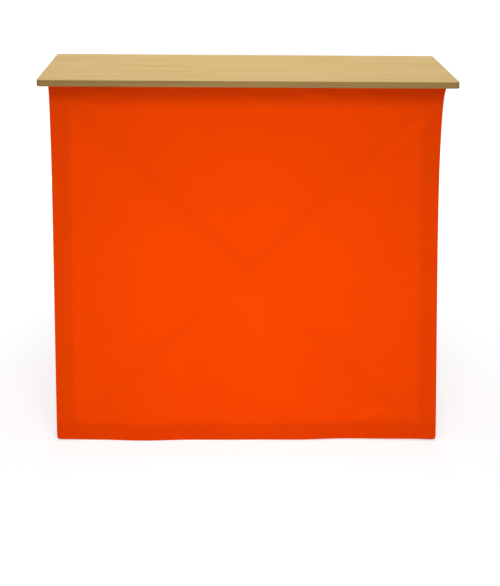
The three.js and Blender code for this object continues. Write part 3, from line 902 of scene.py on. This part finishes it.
def stitch_places(sizes):
    """Each stitch of the four hems: its two ends on the cloth's front layer and its share down."""
    from_hem_edge = 3 * MM
    inset = sizes.hem - from_hem_edge
    side = 1 - inset / CLOTH_HALF_WIDTH
    end = inset / CLOTH_LENGTH
    lines = (
        ((-side, 0), (-side, 1)),
        ((side, 0), (side, 1)),
        ((-1, end), (1, end)),
        ((-1, 1 - end), (1, 1 - end)),
    )
    for start, finish in lines:
        start, finish = Vector(start), Vector(finish)
        span = (cloth_point(*finish, sizes) - cloth_point(*start, sizes)).length
        count = int(span / sizes.stitch_pitch)
        half = sizes.stitch / sizes.stitch_pitch / count / 2
        for index in range(count):
            share = (index + 0.5) / count
            first = start.lerp(finish, share - half)
            last = start.lerp(finish, share + half)
            yield cloth_point(*first, sizes), cloth_point(*last, sizes), first.y


def hem_stitching(sizes):
    """Stitches along the four hems, on the front and, under the heading, on the back."""
    radius = sizes.thread / 2
    proud = radius / 3
    front = -sizes.cloth_thickness / 2 - proud
    back = sizes.hem_rise + sizes.cloth_thickness / 2 + proud
    heading = (CLOTH_TOP - CLOTH_HINGE_HEIGHT) / CLOTH_LENGTH
    row = bmesh.new()
    one = bmesh.new()
    mesh = bpy.data.meshes.new("one_stitch")
    for first, last, down in stitch_places(sizes):
        along = last - first
        shape = Matrix.Diagonal((radius, radius, along.length / 2, 1))
        for offset in (front, back) if down > heading else (front,):
            middle = (first + last) / 2 + TOWARDS_REAR * offset
            one.clear()
            bmesh.ops.create_uvsphere(
                one,
                u_segments=6,
                v_segments=4,
                radius=1,
                matrix=facing(middle, along) @ shape,
            )
            one.to_mesh(mesh)
            row.from_mesh(mesh)
    one.free()
    bpy.data.meshes.remove(mesh)
    return row


class BAR_OT_cloth_front(bpy.types.Operator):
    """Cut, hem and hang the cloth front"""

    bl_idname = "bar.cloth_front"
    bl_label = "Cloth front"

    def execute(self, context):
        sizes = context.scene.bar_sizes
        cloth = add_piece(cloth_sheet(sizes), "cloth_front_sheet", "cloth", None)
        thickness = cloth.modifiers.new("cloth_thickness", "SOLIDIFY")
        thickness.thickness = sizes.cloth_thickness
        thickness.offset = 0
        stitching = add_piece(
            hem_stitching(sizes),
            "cloth_hem_stitching",
            "cloth",
            None,
            material=sewing_thread(context.scene.bar_colours),
        )
        for piece in (cloth, stitching):
            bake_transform(piece)
        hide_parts("cloth_heading", "cloth_panel")
        return {"FINISHED"}


def frame_place(name):
    """The placing of a leg frame that is drawn upright about its pivot, and half its height."""
    top = centre(f"{name}_top_rail")
    foot = centre(f"{name}_foot_rail")
    rise = top - foot
    turn = Matrix.Rotation(math.atan2(rise.x, rise.z), 4, "Y")
    return Matrix.Translation((top + foot) / 2) @ turn, rise.length / 2


def rail(node, body, sizes):
    """A round rail with eased ends."""
    low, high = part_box(node)
    outer = sizes.rail_diameter / 2
    bm = turned(tube_points(outer - sizes.rail_wall, outer, (high.y - low.y) / 2))
    soften(bm, RAIL_EDGE)
    bmesh.ops.translate(bm, verts=bm.verts, vec=centre(node))
    add_piece(bm, f"{node}_tube", "leg_tube", body, [node])


def casting(node, body, sizes):
    """A cast fitting: its solid with every corner rounded as the mould leaves it."""
    mesh = bpy.data.meshes.new("rough_casting")
    rough = merged_copy(node)
    rough.to_mesh(mesh)
    rough.free()
    block = bpy.data.objects.new("rough_casting", mesh)
    bpy.context.scene.collection.objects.link(block)
    cells = block.modifiers.new("cells", "REMESH")
    cells.mode = "VOXEL"
    cells.voxel_size = sizes.casting_grain
    rounding = block.modifiers.new("rounding", "SMOOTH")
    rounding.factor = 0.5
    rounding.iterations = 5
    made = block.evaluated_get(bpy.context.evaluated_depsgraph_get())
    bm = bmesh.new()
    bm.from_mesh(made.to_mesh())
    made.to_mesh_clear()
    bpy.data.objects.remove(block)
    return add_piece(bm, f"{node}_casting", "cast_fitting", body, [node])


def boot(node, rail_node, body, sizes):
    """A ribbed rubber boot over a rail's end, cut flat where it stands."""
    low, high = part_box(node)
    axis = centre(rail_node)
    outward = math.copysign(1, (low.y + high.y) / 2)
    depth = high.y - low.y
    outer = sizes.boot_diameter / 2
    bore = sizes.rail_diameter / 2 + RAIL_CLEARANCE
    end_wall = 3 * MM
    rounding = 3 * MM
    arc_steps = 6
    lip = 4 * MM
    lip_edge = 1 * MM
    groove = outer - sizes.boot_rib_depth
    groove_share = 0.3
    points = [(0, depth - end_wall), (bore, depth - end_wall), (bore, 0)]
    points += [(outer - lip_edge, 0), (outer, lip_edge)]
    along = lip
    while along + sizes.boot_rib < depth - rounding:
        land = along + groove_share * sizes.boot_rib
        points += [(outer, along), (groove, along), (groove, land), (outer, land)]
        along += sizes.boot_rib
    for step in range(arc_steps + 1):
        turn = math.pi / 2 * step / arc_steps
        radius = outer - rounding * (1 - math.cos(turn))
        points.append((radius, depth - rounding * (1 - math.sin(turn))))
    points.append((0, depth))
    bm = turned(points)
    mouth = low.y if outward > 0 else high.y
    flip = Matrix.Identity(4) if outward > 0 else Matrix.Rotation(math.pi, 4, "Z")
    place = Matrix.Translation((axis.x, mouth, axis.z)) @ flip
    bmesh.ops.transform(bm, verts=bm.verts, matrix=place)
    bmesh.ops.bisect_plane(
        bm,
        geom=bm.verts[:] + bm.edges[:] + bm.faces[:],
        plane_co=(0, 0, low.z),
        plane_no=-UP,
        clear_outer=True,
    )
    bmesh.ops.holes_fill(bm, edges=[e for e in bm.edges if e.is_boundary])
    bmesh.ops.recalc_face_normals(bm, faces=bm.faces)
    add_piece(bm, f"{node}_rubber", "rubber", body, [node])


class BAR_OT_leg_frames(bpy.types.Operator):
    """Dress the two leg frames: tubes, rails, castings, set screws, plugs and boots"""

    bl_idname = "bar.leg_frames"
    bl_label = "Leg frames"

    def execute(self, context):
        sizes = context.scene.bar_sizes
        screw_length = 3.2 * MM
        for name in LEG_FRAMES:
            body = f"{name}_frame"
            place, reach = frame_place(name)
            lean = math.copysign(1, centre(f"{name}_top_rail").x)
            for level, up in (("top", 1), ("foot", -1)):
                rail(f"{name}_{level}_rail", body, sizes)
                for end, _ in ENDS:
                    node = f"{name}_{level}_fitting_{end}"
                    casting(node, body, sizes)
                    out = place.to_3x3() @ Vector((lean * up, 0, 0))
                    seat = place @ Vector((0, centre(f"{name}_leg_{end}").y, up * reach))
                    screw = set_screw(sizes.set_screw / 2, screw_length)
                    seat += out * (sizes.rail_diameter / 2 + RAIL_CLEARANCE)
                    bmesh.ops.transform(screw, verts=screw.verts, matrix=facing(seat, out))
                    add_piece(screw, f"{name}_{level}_set_screw_{end}", "steel", body)
            for end, _ in ENDS:
                softened_copy(f"{name}_leg_{end}", "tube", "leg_tube", body, CUT_EDGE)
                softened_copy(f"{name}_rail_plug_{end}", "moulding", "nylon", body, SMALL_MOULDED_EDGE)
                softened_copy(f"{name}_bush_{end}", "moulding", "nylon", body, BUSH_EDGE)
                boot(f"{name}_boot_{end}", f"{name}_foot_rail", body, sizes)
        return {"FINISHED"}


def cap_nut(node, outward, sizes):
    """A domed cap nut on its washer."""
    low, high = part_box(node)
    seat = low.y if outward > 0 else high.y
    radius = sizes.nut_across_flats / 2 / math.cos(math.pi / 6)
    middle = TOWARDS_REAR * sizes.nut_height / 2
    arc_steps = 8
    bm = bmesh.new()
    bmesh.ops.create_cone(
        bm,
        cap_ends=True,
        segments=6,
        radius1=radius,
        radius2=radius,
        depth=sizes.nut_height,
        matrix=Matrix.Translation(middle) @ Matrix.Rotation(math.pi / 2, 4, "X"),
    )
    soften(bm, NUT_EDGE, segments=3)
    dome = sizes.nut_dome / 2
    rise = high.y - low.y - sizes.nut_height
    points = [(0, sizes.nut_height / 2), (dome, sizes.nut_height / 2)]
    for step in range(arc_steps + 1):
        turn = math.pi / 2 * step / arc_steps
        points.append((dome * math.cos(turn), sizes.nut_height + rise * math.sin(turn)))
    crown = turned(points)
    crown_mesh = bpy.data.meshes.new("crown")
    crown.to_mesh(crown_mesh)
    crown.free()
    bm.from_mesh(crown_mesh)
    bpy.data.meshes.remove(crown_mesh)
    flip = Matrix.Identity(4) if outward > 0 else Matrix.Rotation(math.pi, 4, "Z")
    axis = centre("pivot_axle")
    place = Matrix.Translation((axis.x, seat, axis.z)) @ flip
    bmesh.ops.transform(bm, verts=bm.verts, matrix=place)
    add_piece(bm, f"{node}_steel", "steel", "pivot", [node])


class BAR_OT_pivot(bpy.types.Operator):
    """Dress the pivot: axle, spreader, washers and cap nuts"""

    bl_idname = "bar.pivot"
    bl_label = "Pivot"

    def execute(self, context):
        sizes = context.scene.bar_sizes
        finish_node("pivot_axle", "steel")
        softened_copy("pivot_spreader", "tube", "leg_tube", "pivot", CUT_EDGE)
        for end, outward in ENDS:
            softened_copy(f"pivot_washer_{end}", "steel", "steel", "pivot", CUT_EDGE)
            cap_nut(f"pivot_cap_nut_{end}", outward, sizes)
        return {"FINISHED"}


def seen_rays(tree):
    """1 for rays that show the stage itself: straight to the camera, mirrored or through glass."""
    path = add_node(tree, "ShaderNodeLightPath")
    mirrored = add_node(
        tree,
        "ShaderNodeMath",
        {0: path.outputs["Is Camera Ray"], 1: path.outputs["Is Glossy Ray"]},
        operation="MAXIMUM",
    )
    return add_node(
        tree,
        "ShaderNodeMath",
        {0: mirrored.outputs[0], 1: path.outputs["Is Transmission Ray"]},
        operation="MAXIMUM",
    ).outputs[0]


def studio_floor(stage, colours):
    """Matt pale floor that shows white in view and still takes the bar's shadow. Its glow is weaker near
    the bar, so the grey round the bar is partly its real shadow and partly painted shade.
    """
    # From near to far the glow rises: close to the bar the floor is lifted less, which paints a grey shade
    # round it
    near, far = 0.9, 3
    material, tree, surface = start_material("matt_studio_floor", 0, 1)
    surface.inputs["Base Color"].default_value = (*colours.floor, 1)
    surface.inputs["Specular IOR Level"].default_value = 0
    surface.inputs["Emission Color"].default_value = (1, 1, 1, 1)
    place = add_node(tree, "ShaderNodeTexCoord").outputs["Object"]
    away = add_node(tree, "ShaderNodeVectorMath", {0: place}, operation="LENGTH")
    lift = add_node(
        tree,
        "ShaderNodeMapRange",
        {
            "Value": away.outputs["Value"],
            "From Min": near,
            "From Max": far,
            "To Min": stage.near_glow_painted_shade,
            "To Max": stage.far_glow,
        },
    )
    glow = add_node(
        tree,
        "ShaderNodeMath",
        {0: seen_rays(tree), 1: lift.outputs[0]},
        operation="MULTIPLY",
    )
    tree.links.new(glow.outputs[0], surface.inputs["Emission Strength"])
    return material


def add_lamp(name, kind, power, place, target, **settings):
    """A lamp that faces its target."""
    lamp = bpy.data.lights.new(name, kind)
    lamp.energy = power
    for setting, value in settings.items():
        setattr(lamp, setting, value)
    holder = bpy.data.objects.new(name, lamp)
    bpy.context.scene.collection.objects.link(holder)
    holder.location = place
    holder.rotation_euler = (Vector(target) - Vector(place)).to_track_quat("-Z", "Y").to_euler()


class BAR_OT_stage(bpy.types.Operator):
    """Set up the floor, the light and the camera"""

    bl_idname = "bar.stage"
    bl_label = "Stage"

    def execute(self, context):
        scene = context.scene
        stage = scene.bar_stage
        scene.view_settings.view_transform = "Standard"
        self.add_floor(scene, stage)
        self.add_light(scene, stage)
        self.add_camera(scene, stage)
        return {"FINISHED"}

    def add_floor(self, scene, stage):
        half_size = 20
        below_feet = 0.2 * MM
        bm = bmesh.new()
        bmesh.ops.create_grid(
            bm,
            x_segments=1,
            y_segments=1,
            size=half_size,
            matrix=Matrix.Translation(-UP * below_feet),
        )
        mesh = bpy.data.meshes.new("floor")
        bm.to_mesh(mesh)
        bm.free()
        mesh.materials.append(studio_floor(stage, scene.bar_colours))
        floor = bpy.data.objects.new("floor", mesh)
        scene.collection.objects.link(floor)

    def add_light(self, scene, stage):
        world = bpy.data.worlds.new("studio_light")
        world.use_nodes = True
        scene.world = world
        tree = world.node_tree
        strength = add_node(
            tree,
            "ShaderNodeMath",
            {0: seen_rays(tree), 1: 1 - stage.sky, 2: stage.sky},
            operation="MULTIPLY_ADD",
        )
        background = tree.nodes["Background"]
        background.inputs["Color"].default_value = (1, 1, 1, 1)
        tree.links.new(strength.outputs[0], background.inputs["Strength"])
        front, overhead = (0, -1.35, 0.5), (0, 0.2, 2.6)
        add_lamp("front", "AREA", stage.key_power, front, target=(0, 0, 0.5), size=0.7)
        add_lamp("overhead", "AREA", stage.top_power, overhead, target=(0, 0.1, 1), size=1.4)
        # Level with the axle and behind it, so that the legs' shadows fall on one another on the cloth
        rear = (0, 5, 0.54)
        add_lamp("rear", "AREA", stage.rear_power, rear, target=(0, 0, 0.54), size=0.15)
        slant, softness = (0, -2.2, 3.9), math.radians(30)
        add_lamp("slant", "SUN", stage.slant, slant, target=(0, 0, 1.1), angle=softness)

    def add_camera(self, scene, stage):
        data = bpy.data.cameras.new("camera")
        data.sensor_width = SENSOR_WIDTH
        data.lens = stage.focal_pixels / PHOTO_LONG_SIDE * SENSOR_WIDTH
        camera = bpy.data.objects.new("camera", data)
        scene.collection.objects.link(camera)
        turn = (
            Matrix.Rotation(-stage.yaw, 4, "Z")
            @ Matrix.Rotation(math.pi / 2 - stage.pitch, 4, "X")
            @ Matrix.Rotation(stage.roll, 4, "Z")
        )
        place = Matrix.Translation((stage.camera_x, stage.camera_y, stage.camera_z))
        camera.matrix_world = place @ turn
        scene.camera = camera


class BAR_PT_panel(bpy.types.Panel):
    """Lists the bar's steps"""

    bl_idname = "BAR_PT_panel"
    bl_label = "Folding portable bar"
    bl_space_type = "VIEW_3D"
    bl_region_type = "UI"
    bl_category = "Bar"

    def draw(self, context):
        for operator in OPERATORS:
            self.layout.operator(operator.bl_idname)


GROUPS = {"bar_colours": BarColours, "bar_sizes": BarSizes, "bar_stage": BarStage}
OPERATORS = (
    BAR_OT_stage,
    BAR_OT_counter,
    BAR_OT_saddles,
    BAR_OT_cloth_rail,
    BAR_OT_cloth_front,
    BAR_OT_leg_frames,
    BAR_OT_pivot,
)


def register():
    for kind in (*GROUPS.values(), *OPERATORS, BAR_PT_panel):
        bpy.utils.register_class(kind)
    for name, group in GROUPS.items():
        setattr(bpy.types.Scene, name, PointerProperty(type=group))


def unregister():
    for name in GROUPS:
        delattr(bpy.types.Scene, name)
    for kind in (BAR_PT_panel, *reversed(OPERATORS), *reversed(GROUPS.values())):
        bpy.utils.unregister_class(kind)


def main():
    register()
    bpy.ops.bar.stage()
    bpy.ops.bar.counter()
    bpy.ops.bar.saddles()
    bpy.ops.bar.cloth_rail()
    bpy.ops.bar.cloth_front()
    bpy.ops.bar.leg_frames()
    bpy.ops.bar.pivot()


if __name__ == "__main__":
    main()
